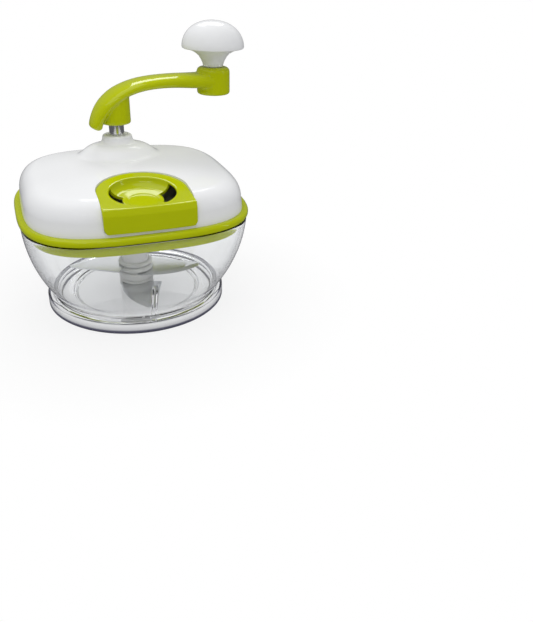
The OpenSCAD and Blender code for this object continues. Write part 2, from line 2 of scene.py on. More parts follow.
# # A hand crank food chopper, dressed in Blender
# The imported model gives every part its place and its motion. This lesson puts a clear
# bowl, glossy mouldings and polished steel over it, one piece at a time.

# %% Load the frame
import json
import math
import bmesh
import bpy
import numpy as np
from mathutils import Matrix, Vector


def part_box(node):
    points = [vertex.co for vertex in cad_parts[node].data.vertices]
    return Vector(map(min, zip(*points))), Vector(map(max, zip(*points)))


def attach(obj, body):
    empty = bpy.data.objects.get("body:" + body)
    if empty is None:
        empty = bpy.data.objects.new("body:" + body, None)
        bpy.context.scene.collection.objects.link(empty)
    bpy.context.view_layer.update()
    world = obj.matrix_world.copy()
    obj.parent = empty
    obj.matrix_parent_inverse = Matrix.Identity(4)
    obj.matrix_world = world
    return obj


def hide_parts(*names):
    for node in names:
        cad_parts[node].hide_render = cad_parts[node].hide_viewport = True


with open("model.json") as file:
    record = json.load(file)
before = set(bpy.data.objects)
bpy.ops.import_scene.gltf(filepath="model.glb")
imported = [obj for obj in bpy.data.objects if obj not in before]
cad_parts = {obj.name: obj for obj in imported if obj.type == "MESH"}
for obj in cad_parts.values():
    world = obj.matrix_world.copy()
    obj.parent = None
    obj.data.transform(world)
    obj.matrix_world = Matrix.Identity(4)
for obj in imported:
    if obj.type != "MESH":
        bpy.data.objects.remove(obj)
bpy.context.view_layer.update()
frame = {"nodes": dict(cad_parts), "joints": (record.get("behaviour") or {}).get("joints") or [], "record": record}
nodes = frame["nodes"]

# %% [markdown]
# ## Sizes that the pieces share
# Nothing is measured twice: levels and half widths come from the boxes of the packed
# nodes, and the two axes of the crank come from its joints. The few numbers left are
# those that a box can't tell, such as the squareness of the rim.

# %% Read the levels
MM = 0.001
SQUARENESS = 3.3
BEAD_H, COLLAR_RISE, SHAFT_GAP = 5.6 * MM, 17.5 * MM, 9 * MM
joints = {joint["name"]: joint for joint in frame["joints"]}
crank_axis = Vector(joints["crank_turn"]["pos_m"])
knob_axis = Vector(joints["knob_turn"]["pos_m"])
arm_run = knob_axis - crank_axis
crank_rest = math.atan2(arm_run.y, arm_run.x)
crank_length = math.hypot(arm_run.x, arm_run.y)

rim_a, rim_b, rim_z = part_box("bowl")[1]
ring_low, ring_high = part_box("lid_ring")
lid_a, lid_b, bead_top = ring_high
cover_a, cover_b, collar_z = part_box("lid_cover")[1]
insert_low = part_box("port_insert")[0]
ring_z = bead_top - BEAD_H
edge_z = collar_z - COLLAR_RISE
hub_z = collar_z + SHAFT_GAP
print("rim", round(rim_z, 4), "bead top", round(bead_top, 4),
      "collar", round(collar_z, 4), "hub", round(hub_z, 4))

# %% [markdown]
# ## Camera
# The photograph was taken from close by with a wide lens, and the chopper stands left of
# and above the middle of the picture. A lens shift would spoil other views, so the camera
# stands where the photographer stood and is turned past the object instead.

# %% Place the camera
PICTURE = (533, 622)
FOCAL_PX = 654.441
SENSOR_MM = 36
# Azimuth and elevation in degrees, and the distance from a point above the foot
STAND = (-9.684, 18.244, 540 * MM)
STAND_HEIGHT = 90 * MM
# Azimuth, elevation and roll of the camera itself, in degrees
TURN = (-22.24, 28.781, 1.689)


def back_of(azimuth, elevation):
    a, e = math.radians(azimuth), math.radians(elevation)
    return Vector((math.sin(a) * math.cos(e), -math.cos(a) * math.cos(e), math.sin(e)))


back = back_of(*TURN[:2])
right = Vector((math.cos(math.radians(TURN[0])), math.sin(math.radians(TURN[0])), 0))
up = back.cross(right)
roll = math.radians(TURN[2])
across = right * math.cos(roll) + up * math.sin(roll)
upward = up * math.cos(roll) - right * math.sin(roll)
camera = bpy.data.objects.new("camera", bpy.data.cameras.new("camera"))
camera.data.lens = SENSOR_MM * FOCAL_PX / max(PICTURE)
camera.data.clip_start = 10 * MM
place = Vector((0, 0, STAND_HEIGHT)) + back_of(*STAND[:2]) * STAND[2]
facing = Matrix((across, upward, back)).transposed().to_4x4()
camera.matrix_world = Matrix.Translation(place) @ facing
bpy.context.scene.collection.objects.link(camera)
bpy.context.scene.camera = camera
print("camera", [round(v, 3) for v in place], "lens", round(camera.data.lens, 1))

# %% [markdown]
# ## Sockets that can be added and multiplied
# A finish is a short sum: a base value plus a little noise. Writing it as Python keeps it
# readable, so one class wraps a socket and turns each operator into a Math node, and one
# method makes any other node. The same two serve shader trees and Geometry Nodes.

# %% Write the socket class


class Socket:
    """One output of a node, with the operators that the trees here use."""

    def __init__(self, tree, made, out):
        self.tree, self.made, self.out = tree, made, out

    def at(self, name):
        return Socket(self.tree, self.made, self.made.outputs[name])

    def maths(self, operation, first, second):
        return self.tree.node("ShaderNodeMath", {"operation": operation}, {0: first, 1: second})

    def __add__(self, other):
        return self.maths("ADD", self, other)

    def __radd__(self, other):
        return self.maths("ADD", other, self)

    def __sub__(self, other):
        return self.maths("SUBTRACT", self, other)

    def __rsub__(self, other):
        return self.maths("SUBTRACT", other, self)

    def __mul__(self, other):
        return self.maths("MULTIPLY", self, other)

    def __rmul__(self, other):
        return self.maths("MULTIPLY", other, self)

    def __truediv__(self, other):
        return self.maths("DIVIDE", self, other)

    def __rtruediv__(self, other):
        return self.maths("DIVIDE", other, self)

    def __pow__(self, other):
        return self.maths("POWER", self, other)

    def __abs__(self):
        return self.maths("ABSOLUTE", self, 0.0)


class Tree:
    """A node tree that makes a node from its type, its settings and its sockets."""

    def __init__(self, tree):
        self.tree = tree

    def node(self, kind, settings=None, values=None):
        made = self.tree.nodes.new(kind)
        for key, value in (settings or {}).items():
            setattr(made, key, value)
        for key, value in (values or {}).items():
            if isinstance(value, Socket):
                self.tree.links.new(value.out, made.inputs[key])
            else:
                made.inputs[key].default_value = value
        outs = [out for out in made.outputs if out.enabled]
        return Socket(self, made, outs[0] if outs else None)


class Finish(Tree):
    """A material with one surface shader."""

    def __init__(self, name):
        self.material = bpy.data.materials.new(name)
        self.material.use_nodes = True
        super().__init__(self.material.node_tree)
        self.tree.nodes.clear()
        self.place = self.node("ShaderNodeTexCoord").at("Object")

    def noise(self, size, detail=2.0, stretch=(1, 1, 1)):
        scaled = self.node("ShaderNodeMapping", None, {"Vector": self.place, "Scale": stretch})
        return self.node("ShaderNodeTexNoise", None,
                         {"Vector": scaled, "Scale": 1 / size, "Detail": detail})

    def mix(self, share, first, second):
        return self.node("ShaderNodeMix", {"data_type": "RGBA"}, {0: share, 6: first, 7: second})

    def bump(self, height, depth, strength):
        return self.node("ShaderNodeBump", None,
                         {"Height": height, "Distance": depth, "Strength": strength})

    def surface(self, shader):
        self.node("ShaderNodeOutputMaterial", None, {"Surface": shader})
        return self.material


print("socket class ready")

# %% [markdown]
# ## Moulded plastics
# Lime and white are both polished mouldings: a gloss that is never quite even, with a
# faint ripple where the melt flowed. The milky hubs and the neck of the knob let some
# light in. Colour varies by a few parts in a hundred only, over several centimetres.

# %% Mix the mouldings
FLOW_SIZE, GRAIN_SIZE, GRAIN_SHARE = 45 * MM, 1.1 * MM, 0.02
GLOSS_SPREAD, RIPPLE_DEPTH, RIPPLE_STRENGTH = 0.07, 0.5 * MM, 0.12


def moulding(name, pale, deep, roughness, **extra):
    finish = Finish(name)
    flow = finish.noise(FLOW_SIZE)
    grain = finish.noise(GRAIN_SIZE, 3.0)
    ripples = finish.bump(flow + GRAIN_SHARE * grain, RIPPLE_DEPTH, RIPPLE_STRENGTH)
    values = {
        "Base Color": finish.mix(flow, (*deep, 1), (*pale, 1)),
        "Roughness": roughness + GLOSS_SPREAD * grain,
        "Normal": ripples,
        "IOR": 1.5,
    }
    values.update(extra)
    return finish.surface(finish.node("ShaderNodeBsdfPrincipled", None, values))


lime = moulding("lime_gloss", (0.47, 0.53, 0.0006), (0.42, 0.475, 0.0003), 0.05,
                **{"Specular IOR Level": 0.3})
white = moulding("white_gloss", (0.83, 0.83, 0.835), (0.79, 0.79, 0.797), 0.07,
                 **{"Specular IOR Level": 0.1})
milky = moulding("milky_plastic", (0.95, 0.955, 0.945), (0.91, 0.915, 0.9), 0.3,
                 **{"Transmission Weight": 0.2})
print("mouldings", lime.name, white.name, milky.name)

# %% [markdown]
# ## Clear plastic
# The bowl is polished and clear, so nearly all of it is refraction: real wall thickness
# in the mesh, the index of the plastic, and a trace of roughness that comes and goes.
# Painted shade darkens the thick edges, marked by an attribute of the mesh, and a grazing
# view along the wall, standing in for the dark lines that refraction draws there. Lamps shine straight through to
# what is inside.

# %% Mix the clear plastic
WALL_TINTS = (0.945, 0.955, 0.962, 1), (0.965, 0.972, 0.978, 1)
# Painted shade: the dark colour that thick edges and grazing views of the bowl are mixed towards
PAINTED_EDGE_SHADE, LAMP_TINT = (0.07, 0.07, 0.11, 1), (0.95, 0.955, 0.96, 1)
GRAZING_POWER, GRAZING_SHADE_SHARE = 6.0, 1.2
clear_finish = Finish("clear_polished")
ripple = clear_finish.noise(30 * MM)
body_tint = clear_finish.mix(ripple, *WALL_TINTS)
# Painted shade on the edges marked by the mesh's edge attribute, and more at grazing views
painted_edge_share = clear_finish.node("ShaderNodeAttribute", {"attribute_name": "edge"}).at("Fac")
facing_away = clear_finish.node("ShaderNodeLayerWeight", None, {"Blend": 0.5}).at("Facing")
grazing_shade = facing_away ** GRAZING_POWER
painted_shade_share = clear_finish.node("ShaderNodeClamp", None,
                                {"Value": painted_edge_share + GRAZING_SHADE_SHARE * grazing_shade})
wall = clear_finish.node("ShaderNodeBsdfPrincipled", None, {
    "Base Color": clear_finish.mix(painted_shade_share, body_tint, PAINTED_EDGE_SHADE),
    "Roughness": 0.012 + 0.03 * ripple,
    "Normal": clear_finish.bump(ripple, 0.4 * MM, 0.1),
    "IOR": 1.49,
    "Transmission Weight": 1.0,
})
let_through = clear_finish.node("ShaderNodeBsdfTransparent", None, {"Color": LAMP_TINT})
lit = clear_finish.node("ShaderNodeLightPath").at("Is Shadow Ray")
clear_look = clear_finish.node("ShaderNodeMixShader", None, {0: lit, 1: wall, 2: let_through})
clear = clear_finish.surface(clear_look)
print("clear", clear.name)

# %% [markdown]
# ## Metals
# The shaft is ground round and polished, the blades are rolled sheet with a fine grain
# along their length, and the small hardware is plated and duller.

# %% Mix the metals


def metal(name, pale, deep, roughness, spread, stretch, depth):
    finish = Finish(name)
    grain = finish.noise(0.5 * MM, 3.0, stretch)
    cloud = finish.noise(14 * MM)
    return finish.surface(finish.node("ShaderNodeBsdfPrincipled", None, {
        "Base Color": finish.mix(cloud, (*deep, 1), (*pale, 1)),
        "Metallic": 1.0,
        "Roughness": roughness + spread * grain,
        "Normal": finish.bump(grain, depth, 0.3),
    }))


steel = metal("polished_steel", (0.80, 0.80, 0.81), (0.70, 0.70, 0.71),
              roughness=0.07, spread=0.08, stretch=(1, 1, 20), depth=0.01 * MM)
blade = metal("blade_steel", (0.78, 0.79, 0.80), (0.70, 0.71, 0.72),
              roughness=0.16, spread=0.16, stretch=(12, 1, 1), depth=0.02 * MM)
zinc = metal("plated_hardware", (0.66, 0.67, 0.69), (0.55, 0.56, 0.58),
             roughness=0.25, spread=0.2, stretch=(1, 1, 1), depth=0.03 * MM)
finishes = {"lime": lime, "white": white, "frost": milky, "clear": clear,
            "steel": steel, "blade": blade, "zinc": zinc}
for entry in frame["record"]["subparts"]:
    nodes[entry["node"]].material_slots[0].material = finishes[entry["material_slot"]]
print("finishes on", len(nodes), "nodes")

# %% [markdown]
# ## Skins over rings
# Bowl, cover and insert are all skins: a stack of rings with equal numbers of points,
# joined by quads. Rings that shrink to one point close the shape. Each finished piece is
# handed over by one helper that hangs it on its body, gives it the finish of its slot and
# hides the parts it stands for.

# %% Write the skin helper


def skin(name, rings, sharp=38, loop=False):
    points, starts = [], []
    for ring in rings:
        starts.append(len(points))
        points.extend(tuple(p) for p in ring)
    faces = []
    for i in range(len(rings) - (0 if loop else 1)):
        j = (i + 1) % len(rings)
        low, high, s, t = len(rings[i]), len(rings[j]), starts[i], starts[j]
        for k in range(max(low, high)):
            corners = [s + k % low, s + (k + 1) % low, t + (k + 1) % high, t + k % high]
            faces.append(list(dict.fromkeys(corners)))
    mesh = bpy.data.meshes.new(name)
    mesh.from_pydata(points, [], faces)
    shape = bmesh.new()
    shape.from_mesh(mesh)
    bmesh.ops.recalc_face_normals(shape, faces=shape.faces)
    shape.to_mesh(mesh)
    shape.free()
    return link(name, mesh, sharp)


def link(name, mesh, sharp=38):
    mesh.validate()
    mesh.shade_smooth()
    mesh.set_sharp_from_angle(angle=math.radians(sharp))
    piece = bpy.data.objects.new(name, mesh)
    bpy.context.scene.collection.objects.link(piece)
    return piece


def hand_over(piece, body, slot, *stands_for):
    piece.data.materials.clear()
    piece.data.materials.append(finishes[slot])
    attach(piece, body)
    if stands_for:
        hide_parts(*stands_for)
    print(piece.name, "faces", len(piece.data.polygons))


def baked(piece, sharp=38):
    """The piece with its modifiers worked into a plain mesh."""
    graph = bpy.context.evaluated_depsgraph_get()
    mesh = bpy.data.meshes.new_from_object(piece.evaluated_get(graph))
    name = piece.name
    bpy.data.objects.remove(piece)
    return link(name, mesh, sharp)


print("skin helper ready")

# %% [markdown]
# ## Rounded squares
# Rim, bead and cover share one outline, a superellipse. Its power is 2 for a circle and
# grows as the outline gets squarer, so one formula runs from the round floor to the rim.
# The points crowd at the front and the back, where the bowl has a thin upright rib.

# %% Write the outline
RIB_HALF = 1.6 * MM
around = np.linspace(0, 2 * np.pi, 180, endpoint=False)
near_rib = np.radians([-2.6, -1.9, -1.5, -1.1, -0.6, 0.6, 1.1, 1.5, 1.9, 2.6])
around = np.unique(np.round(np.concatenate(
    [around, near_rib + np.pi / 2, near_rib - np.pi / 2]) % (2 * np.pi), 6))


def outline(a, b, power, z):
    c, s = np.cos(around), np.sin(around)
    r = (np.abs(c / a) ** power + np.abs(s / b) ** power) ** (-1 / power)
    return np.stack([r * c, r * s, np.full(len(around), z)], 1)


def circle(r, z):
    return outline(r, r, 2, z)


print("outline of", len(around), "points")

# %% [markdown]
# ## Bowl
# A thick clear shell: a round floor on a stepped foot ring, walls that open into the
# rounded square rim, and a low rib up the inside at the front and the back. It is one
# closed skin from the middle of the underside, round the rim, to the socket of the pivot
# pin, so that light bends through a true wall.

# %% Make the bowl
FLOOR_R, FLOOR_Z, FLOOR_T, WALL = 64 * MM, 7 * MM, 3 * MM, 2.4 * MM
STEP, COVE_H, COVE_W = 0.8 * MM, 5.5 * MM, 5 * MM
RIB_H, RIB_DEPTH, RIB_TAPER = 34 * MM, 2.2 * MM, 0.25
LIP_IN, LIP_LOW, LIP_EDGE = 0.6 * MM, 0.35 * MM, 0.12 * MM
OPENING = 2.1


def wall_ring(z, inset, rib=0.0):
    share = min(1, max(0, (z - FLOOR_Z) / (rim_z - FLOOR_Z)))
    opened = 1 - (1 - share) ** OPENING
    half_a = FLOOR_R + (rim_a - FLOOR_R) * opened
    half_b = FLOOR_R + (rim_b - FLOOR_R) * opened
    ring = outline(half_a - inset, half_b - inset, 2 + (SQUARENESS - 2) * share, z)
    if rib:
        far = np.hypot(ring[:, 0], ring[:, 1])
        off = np.abs(around % np.pi - np.pi / 2) * far
        depth = rib * np.clip((RIB_HALF * 1.25 - off) / (RIB_HALF * 0.5), 0, 1)
        ring[:, :2] *= (1 - depth / far)[:, None]
    return ring


# Radius and height in millimetres, from the underside outwards and up
foot = [(20, 4), (49.6, 4), (50, 4.5), (50.8, 4.5), (51.2, 4), (62, 4), (64.4, 4.3),
        (66.2, 6.9), (67, 7.5), (69.3, 7.5), (69.9, 6.9), (69.9, 0.4), (70.2, 0), (72, 0),
        (72.5, 0.5), (72.5, 2.4), (72.5, 3.4), (72.5, 7), (72.5, 7.8), (72.2, 8.9),
        (71.3, 9.8), (70, 10.1), (68.2, 10.2), (66.9, 10.5)]
levels = np.linspace(11.2 * MM, rim_z - 1.2 * MM, 36)
rings = [[(0, 0, FLOOR_Z - FLOOR_T)]] + [circle(r * MM, z * MM) for r, z in foot]
rings += [wall_ring(z, 0) for z in levels]
rings += [wall_ring(rim_z - LIP_LOW, LIP_EDGE), wall_ring(rim_z, LIP_IN)]
rings += [wall_ring(rim_z, WALL - LIP_IN), wall_ring(rim_z - LIP_LOW, WALL - LIP_EDGE)]
ledge_z = FLOOR_Z + STEP
for z in levels[::-1]:
    if z > ledge_z + COVE_H:
        rib = max(0, min(RIB_DEPTH, RIB_TAPER * (FLOOR_Z + RIB_H - z)))
        rings.append(wall_ring(z, WALL, rib))
for f in np.radians([75, 55, 35, 18, 0]):
    rings.append(wall_ring(ledge_z + COVE_H * (1 - math.cos(f)),
                           WALL + COVE_W * (1 - math.sin(f)), RIB_DEPTH * math.sin(f)))
floor_line = [(53.4, 7.8), (52.9, 7.7), (52.4, 7.05), (52, 7), (30, 7), (8.4, 7), (8, 7.6),
              (4.2, 7.6), (4, 7.4), (4, 4.8)]
rings += [circle(r * MM, z * MM) for r, z in floor_line]
rings.append([(0, 0, floor_line[-1][1] * MM)])
bowl = skin("clear_bowl", rings)
print("bowl rings", len(rings))

# %% Paint shade on its thick edges
spots = np.array([v.co[:] for v in bowl.data.vertices]) / MM
far, high = np.hypot(spots[:, 0], spots[:, 1]), spots[:, 2]
# Radii and heights in millimetres, and how much painted shade: foot, its shoulder, the root of the
# wall, the step of the floor, the ring under it and the rim
painted_shade_zones = [((69.5, 73), (-1, 2.5), 1.0), ((70.6, 73), (7.6, 10), 0.2),
              ((66, 69), (10.15, 11.5), 0.4), ((52.2, 53.2), (6.9, 7.9), 0.45),
              ((49.8, 51), (4.2, 4.8), 0.3), ((60, 130), (rim_z / MM - 0.5, 100), 0.4)]
# Painted shade for the dark lines that refraction draws at these edges
painted_shade_values = np.zeros(len(spots))
for (near, wide), (low, top), value in painted_shade_zones:
    inside = (far >= near) & (far <= wide) & (high >= low) & (high <= top)
    painted_shade_values[inside] = value
bowl.data.attributes.new("edge", "FLOAT", "POINT").data.foreach_set("value", painted_shade_values)
hand_over(bowl, "bowl", "clear", "bowl")

# %% [markdown]
# ## Green trim along the rim
# The bead and the skirt under it follow the rim all the way round, which is a job for
# Geometry Nodes: a circle is pulled out to the rounded square, and a rounded rectangle is
# swept along it. The same tree makes both strips from different sizes.

# %% Build the sweep


def sweep_tree():
    group = bpy.data.node_groups.new("rounded_square_strip", "GeometryNodeTree")
    for name in ("Half Width", "Half Depth", "Squareness", "Level", "Strip Width",
                 "Strip Height", "Corner"):
        group.interface.new_socket(name, in_out="INPUT", socket_type="NodeSocketFloat")
    group.interface.new_socket("Material", in_out="INPUT", socket_type="NodeSocketMaterial")
    group.interface.new_socket("Geometry", in_out="OUTPUT", socket_type="NodeSocketGeometry")
    tree = Tree(group)
    given = tree.node("NodeGroupInput")
    path = tree.node("GeometryNodeCurvePrimitiveCircle", None, {"Resolution": 260, "Radius": 1.0})
    spot = tree.node("GeometryNodeInputPosition")
    xyz = tree.node("ShaderNodeSeparateXYZ", None, {0: spot})
    x, y, power = xyz.at("X"), xyz.at("Y"), given.at("Squareness")
    reach = (abs(x) / given.at("Half Width")) ** power + (abs(y) / given.at("Half Depth")) ** power
    reach = reach ** (-1.0 / power)
    there = tree.node("ShaderNodeCombineXYZ", None,
                      {"X": x * reach, "Y": y * reach, "Z": given.at("Level")})
    path = tree.node("GeometryNodeSetPosition", None, {"Geometry": path, "Position": there})
    path = tree.node("GeometryNodeSetCurveNormal", {"mode": "Z_UP"}, {"Curve": path})
    strip = tree.node("GeometryNodeCurvePrimitiveQuadrilateral", None,
                      {"Width": given.at("Strip Width"), "Height": given.at("Strip Height")})
    strip = tree.node("GeometryNodeFilletCurve", {"mode": "POLY"},
                      {"Curve": strip, "Count": 8, "Radius": given.at("Corner"),
                       "Limit Radius": True})
    swept = tree.node("GeometryNodeCurveToMesh", None, {"Curve": path, "Profile Curve": strip})
    swept = tree.node("GeometryNodeRealizeInstances", None, {"Geometry": swept})
    swept = tree.node("GeometryNodeSetMaterial", None,
                      {"Geometry": swept, "Material": given.at("Material")})
    tree.node("NodeGroupOutput", None, {0: swept})
    return group


def grown(name, group, **sizes):
    """A piece made by a tree from its named sizes, as a plain mesh."""
    piece = bpy.data.objects.new(name, bpy.data.meshes.new(name))
    bpy.context.scene.collection.objects.link(piece)
    made = piece.modifiers.new("tree", "NODES")
    made.node_group = group
    sockets = {item.name.replace(" ", "_").lower(): item.identifier
               for item in group.interface.items_tree}
    for key, value in sizes.items():
        made[sockets[key]] = value
    return baked(piece)


strip_tree = sweep_tree()
print("sweep tree with", len(strip_tree.nodes), "nodes")

# %% Sweep the bead and the skirt
BEAD_W, SKIRT_W, SKIRT_IN, SKIRT_OVERLAP = 11 * MM, 2.2 * MM, 7.6 * MM, 1 * MM
bead = grown("rim_bead", strip_tree, half_width=lid_a - BEAD_W / 2,
             half_depth=lid_b - BEAD_W / 2, squareness=SQUARENESS,
             level=(ring_z + bead_top) / 2, strip_width=BEAD_W, strip_height=BEAD_H,
             corner=2.5 * MM, material=lime)
hand_over(bead, "lid", "lime", "lid_ring")
skirt = grown("rim_skirt", strip_tree, half_width=lid_a - SKIRT_IN,
              half_depth=lid_b - SKIRT_IN, squareness=SQUARENESS - 0.1,
              level=(ring_low.z + ring_z + SKIRT_OVERLAP) / 2, strip_width=SKIRT_W,
              strip_height=ring_z - ring_low.z + SKIRT_OVERLAP, corner=0.7 * MM, material=lime)
hand_over(skirt, "lid", "lime")

# %% [markdown]
# ## White cover
# A band of light runs round its shoulder, so the skin needs many rings there. The top is
# crowned, swells broadly towards the shaft and rises into a collar. The port for the
# insert is cut by a boolean afterwards, because its outline doesn't follow the rings.

# %% Make the cover
SHOULDER, DRAFT, CROWN, COVER_WALL = 15 * MM, 0.8 * MM, 4 * MM, 2.4 * MM
COLLAR_R, SWELL_R, SWELL_H, BUSH_R = 12 * MM, 34 * MM, 8.7 * MM, 8.7 * MM
SHOULDER_END, TOP_START, FILLET = math.radians(83), 20 * MM, 4.4 * MM
ceiling_z = edge_z - COVER_WALL
top_in = DRAFT + (SHOULDER - DRAFT) * (1 - math.cos(SHOULDER_END))
top_base = edge_z - SHOULDER * (1 - math.sin(SHOULDER_END))


def cover_ring(z, inset):
    return outline(cover_a - inset, cover_b - inset, SQUARENESS, z)


def swelling(p):
    """A low plateau round the shaft, with a full shoulder."""
    d = np.minimum(1, np.hypot(p[:, 0], p[:, 1] - crank_axis.y) / SWELL_R)
    return SWELL_H * (1 - d ** 5) ** 2


def top_height(p):
    m = (np.abs(p[:, 0] / (cover_a - top_in)) ** SQUARENESS
         + np.abs(p[:, 1] / (cover_b - top_in)) ** SQUARENESS)
    return top_base + CROWN * np.maximum(0, 1 - m ** (2 / SQUARENESS)) + swelling(p)


def shaft_ring(r, z):
    return circle(r, z) + np.array([0, crank_axis.y, 0])


def top_ring(share, r, rise=0.0):
    inner, outer = shaft_ring(r, 0), cover_ring(0, top_in)
    ring = inner + (outer - inner) * share
    ring[:, 2] = top_height(ring) + rise
    return ring


cover_low = bead_top + 0.02 * MM
rings = [cover_ring(cover_low, 0), cover_ring(bead_top + 5 * MM, 0.3 * MM)]
for f in np.linspace(0, SHOULDER_END, 18):
    ring = cover_ring(edge_z - SHOULDER * (1 - math.sin(f)),
                      DRAFT + (SHOULDER - DRAFT) * (1 - math.cos(f)))
    ring[:, 2] += swelling(ring)
    rings.append(ring)
rings += [top_ring(share, TOP_START) for share in np.linspace(0.97, 0, 30)]
rings += [top_ring(0, r) for r in np.linspace(TOP_START - 0.6 * MM, COLLAR_R + FILLET, 6)]
for f in np.radians(np.linspace(12, 90, 8)):
    rings.append(top_ring(0, COLLAR_R + FILLET * (1 - math.sin(f)),
                          FILLET * (1 - math.cos(f))))
collar = [(12, -2.2), (11.85, -1.3), (11.4, -0.55), (10.6, -0.1), (9.8, 0), (8.7, 0)]
rings += [shaft_ring(r * MM, collar_z + z * MM) for r, z in collar]
rings += [shaft_ring(BUSH_R, ceiling_z), cover_ring(ceiling_z, SHOULDER + 2 * MM),
          cover_ring(ceiling_z - 3 * MM, COVER_WALL + 4 * MM),
          cover_ring(ceiling_z - 9 * MM, COVER_WALL + DRAFT), cover_ring(cover_low, COVER_WALL)]
cover = skin("white_cover", rings, loop=True)
print("cover rings", len(rings))

# %% Cut the port
PORT_HALF, PORT_CORNER, DISH_Y = 33 * MM, 3.2 * MM, -54 * MM
PAST_LID = 20 * MM
port_z = bead_top + 2.2 * MM


def port_outline(half, z, steps=48):
    back_arc = np.linspace(0, np.pi, steps)
    pts = [(half * math.cos(t), DISH_Y + half * math.sin(t), z) for t in back_arc]
    return np.array(pts + [(-half, -lid_b - PAST_LID, z), (half, -lid_b - PAST_LID, z)])


rings = [port_outline(PORT_HALF - PORT_CORNER * (1 - math.sin(f)),
                      port_z + PORT_CORNER * (1 - math.cos(f)))
         for f in np.radians([0, 20, 40, 60, 90])]
rings.append(port_outline(PORT_HALF, collar_z + 10 * MM))
cutter = skin("port_cutter", [[rings[0].mean(0)]] + rings + [[rings[-1].mean(0)]])
cut = cover.modifiers.new("port", "BOOLEAN")
cut.object, cut.operation, cut.solver = cutter, "DIFFERENCE", "EXACT"
cover = baked(cover, 30)
bpy.data.objects.remove(cutter)
hand_over(cover, "lid", "white", "lid_cover")

# %% [markdown]
# ## Green insert
# One sheet of plastic: a flat plate round a dish, folded over a crisp crease into a panel
# that hangs down the front. The dish, the plate and the panel share their points, so the
# gloss runs on unbroken. Both windows are faces left out of the dish. Solidify then gives
# the thickness and a small bevel takes off the sharp edges.

# %% Lay out the insert's edge
PLATE_HALF, DISH_R, DISH_DEPTH, INSERT_T = 32.93 * MM, 24.5 * MM, 7.5 * MM, 2.2 * MM
CREASE_R, BAND_IN, TILT, BOW_R = 3.5 * MM, 2.4 * MM, math.radians(6.5), 420 * MM
front_y = insert_low.y
panel_low = insert_low.z
crease_z = edge_z - 3.6 * MM


def plate_height(y):
    return crease_z + (y - front_y - CREASE_R) * math.tan(TILT)


def bow(x):
    return x * x / 2 / BOW_R


front_x = np.linspace(-PLATE_HALF, PLATE_HALF, 41)
side_y = np.linspace(front_y + BAND_IN + bow(PLATE_HALF), DISH_Y, 14)[1:]
arc = np.linspace(0, np.pi, 60)[1:]
edge = [(x, front_y + BAND_IN + bow(x)) for x in front_x]
edge += [(PLATE_HALF, y) for y in side_y]
edge += [(PLATE_HALF * math.cos(t), DISH_Y + PLATE_HALF * math.sin(t)) for t in arc]
edge += [(-PLATE_HALF, y) for y in side_y[::-1][1:]]
edge = np.array(edge)
bearing = np.arctan2(edge[:, 1] - DISH_Y, edge[:, 0])
print("insert edge", len(edge), "points")

# %% Lay the plate and the dish
WINDOW_HALF, WINDOW_IN, WINDOW_OUT = math.radians(29), 14.7 * MM, 23.9 * MM
HAIR = 1e-6
# Radius and depth in millimetres, from the rim of the dish inwards
dish_profile = [(24.3, -0.12), (24.05, -0.5), (23.9, -1.3), (23.5, -2.6), (22.6, -4.0),
                (21, -5.2), (19.2, -6.0), (18.4, -6.15), (17.8, -6.2), (14.7, -6.6),
                (12.2, -6.9), (11.5, -7.0), (11.1, -7.3), (10.5, -7.4), (6, -7.47), (1.4, -7.5)]
rim = np.stack([np.cos(bearing), np.sin(bearing)], 1)
centre = np.array([0, DISH_Y])
flats = [(edge + (centre + DISH_R * rim - edge) * share, 0) for share in np.linspace(0, 1, 9)]
flats += [(centre + r * MM * rim, z * MM) for r, z in dish_profile]
rings = [np.column_stack([flat, plate_height(flat[:, 1]) + z]) for flat, z in flats]
points = [tuple(p) for ring in rings for p in ring]
points.append((0, DISH_Y, plate_height(DISH_Y) - DISH_DEPTH))
faces, n = [], len(edge)
window = np.abs((bearing + np.pi / 2) % np.pi - np.pi / 2) < WINDOW_HALF
far = [np.hypot(flat[0, 0], flat[0, 1] - DISH_Y) if z else 1 for flat, z in flats]
for i in range(len(rings)):
    for k in range(n):
        after = (k + 1) % n
        if window[k] and window[after] and WINDOW_IN + HAIR < far[i] < WINDOW_OUT + HAIR:
            continue
        inner = [len(points) - 1]
        if i < len(rings) - 1:
            inner = [(i + 1) * n + after, (i + 1) * n + k]
        faces.append([i * n + k, i * n + after] + inner)
print("plate and dish faces", len(faces))

# %% Fold the panel and close its cheeks
CORNER, CHEEK = 3 * MM, 17 * MM
# Steps back and down in millimetres, over the crease
band = [(2.0, -0.06), (1.75, -0.25), (1.55, -0.6), (0.75, -2.6), (0.35, -3.6), (0.12, -4.2),
        (0, -4.9)]
band_top = plate_height(front_y + BAND_IN)
columns = [list(range(len(front_x)))]
for dy, dz in band:
    columns.append(list(range(len(points), len(points) + len(front_x))))
    points += [(x, front_y + bow(x) + dy * MM, band_top + dz * MM) for x in front_x]
panel_top = band_top + band[-1][1] * MM
for share in np.linspace(0.08, 1, 12):
    columns.append(list(range(len(points), len(points) + len(front_x))))
    for x in front_x:
        lift = CORNER - math.sqrt(max(0, CORNER ** 2 - max(0, abs(x) - PLATE_HALF + CORNER) ** 2))
        points.append((x, front_y + bow(x), panel_top + (panel_low + lift - panel_top) * share))
for above, row in zip(columns, columns[1:]):
    faces += [[above[k], row[k], row[k + 1], above[k + 1]] for k in range(len(front_x) - 1)]
last = len(front_x) - 1
down = [row for row in columns[1:] if points[row[0]][2] > crease_z - CHEEK]
back_steps = int(CHEEK / (side_y[1] - side_y[0]))
faces.append([last + k for k in range(back_steps, -1, -1)] + [row[last] for row in down])
faces.append([row[0] for row in down[::-1]] + [0] + [n - k for k in range(1, back_steps + 1)])
mesh = bpy.data.meshes.new("green_insert")
